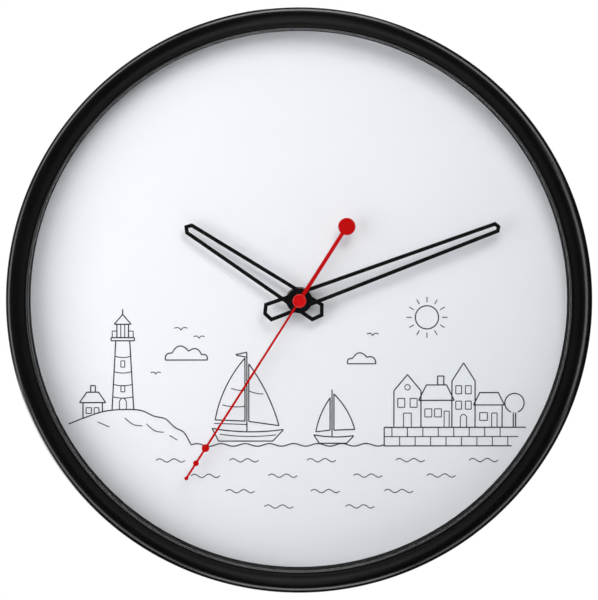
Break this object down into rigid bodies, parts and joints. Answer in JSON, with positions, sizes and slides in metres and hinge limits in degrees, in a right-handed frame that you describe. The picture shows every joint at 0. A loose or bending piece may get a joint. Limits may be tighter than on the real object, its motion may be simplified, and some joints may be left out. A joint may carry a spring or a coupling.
{
  "type": "wall clock",
  "caption": "Round quartz wall clock with a deep black rim, flat lens, white dial, skeleton hands and a battery movement behind a pan with a keyhole hanger.",
  "frame": {"origin": "where the hands' axis meets the wall, in the plane of the rim's rear edge", "axes": "+Y points into the wall along the hands' axis, +Z to twelve o'clock, so the dial faces -Y"},
  "size_m": [0.3, 0.04, 0.3],
  "materials": {
    "satin_black": "satin moulded black plastic",
    "clear_lens": "clear flat glass",
    "dial_white": "matt white printed sheet",
    "pan_grey": "moulded charcoal plastic",
    "zinc_steel": "zinc plated steel",
    "movement_black": "moulded black plastic",
    "brass": "turned brass",
    "rubber": "moulded rubber",
    "white_acetal": "moulded white acetal",
    "knob_grey": "moulded grey plastic",
    "board_green": "glass fibre board",
    "chip_black": "epoxy drop",
    "nickel": "nickel plate",
    "soft_iron": "pressed soft iron",
    "copper": "enamelled copper wire",
    "magnet": "sintered magnet",
    "arbor_steel": "drawn steel",
    "hand_black": "black painted sheet",
    "collet_brass": "turned brass",
    "hand_red": "red painted sheet",
    "cap_red": "red moulded plastic",
    "battery_jacket": "plain printed cell jacket"
  },
  "bodies": {
    "case": {"rim": "satin_black", "lens": "clear_lens", "spacer_ring": "satin_black", "dial": "dial_white", "back_pan": "pan_grey", "pan_screws": "zinc_steel", "movement_case": "movement_black", "movement_cover": "movement_black", "train_bridge": "white_acetal", "shaft_bushing": "brass", "cushion_washer": "rubber", "dial_washer": "brass", "dial_nut": "brass", "circuit_board": "board_green", "driver_chip": "chip_black", "quartz_crystal": "nickel", "coil_core": "soft_iron", "coil_bobbin": "white_acetal", "coil_winding": "copper", "stator": "soft_iron", "positive_contact": "nickel", "negative_contact": "nickel"},
    "second_set": {"seconds_wheel": "white_acetal", "seconds_arbor": "arbor_steel", "second_hand": "hand_red", "second_socket": "collet_brass", "second_cap": "cap_red"},
    "minute_set": {"centre_wheel": "white_acetal", "minute_pipe": "white_acetal", "minute_hand": "hand_black", "minute_collet": "collet_brass"},
    "hour_set": {"hour_wheel": "white_acetal", "hour_hand": "hand_black", "hour_collet": "collet_brass"},
    "third_set": {"third_wheel": "white_acetal"},
    "intermediate_set": {"intermediate_wheel": "white_acetal"},
    "rotor_set": {"rotor": "white_acetal", "rotor_magnet": "magnet"},
    "setting_set": {"minute_wheel": "white_acetal", "setting_knob": "knob_grey"},
    "battery": {"battery_can": "battery_jacket", "battery_nub": "nickel"}
  },
  "joints": [
    {"name": "second_turn", "type": "hinge", "parent": "case", "child": "second_set", "pos_m": [0, 0, 0], "axis": [0, 1, 0], "continuous": true},
    {"name": "minute_turn", "type": "hinge", "parent": "case", "child": "minute_set", "pos_m": [0, 0, 0], "axis": [0, 1, 0], "continuous": true},
    {"name": "hour_turn", "type": "hinge", "parent": "case", "child": "hour_set", "pos_m": [0, 0, 0], "axis": [0, 1, 0], "continuous": true},
    {"name": "third_turn", "type": "hinge", "parent": "case", "child": "third_set", "pos_m": [-0.00372, 0, 0.00995], "axis": [0, 1, 0], "continuous": true},
    {"name": "intermediate_turn", "type": "hinge", "parent": "case", "child": "intermediate_set", "pos_m": [0.00788, 0, 0.0038], "axis": [0, 1, 0], "continuous": true},
    {"name": "rotor_turn", "type": "hinge", "parent": "case", "child": "rotor_set", "pos_m": [0.01339, 0, 0.00889], "axis": [0, 1, 0], "continuous": true},
    {"name": "setting_turn", "type": "hinge", "parent": "case", "child": "setting_set", "pos_m": [-0.01149, 0, 0], "axis": [0, 1, 0], "continuous": true},
    {"name": "battery_slide", "type": "slide", "parent": "case", "child": "battery", "axis": [0, 1, 0], "range_m": [0, 0.03]}
  ],
  "couplings": [
    {"joint": "minute_turn", "follows": "second_turn", "ratio": 0.016667},
    {"joint": "hour_turn", "follows": "second_turn", "ratio": 0.0013889},
    {"joint": "third_turn", "follows": "second_turn", "ratio": -0.13333},
    {"joint": "intermediate_turn", "follows": "second_turn", "ratio": -6},
    {"joint": "rotor_turn", "follows": "second_turn", "ratio": 30},
    {"joint": "setting_turn", "follows": "second_turn", "ratio": -0.0055556}
  ]
}
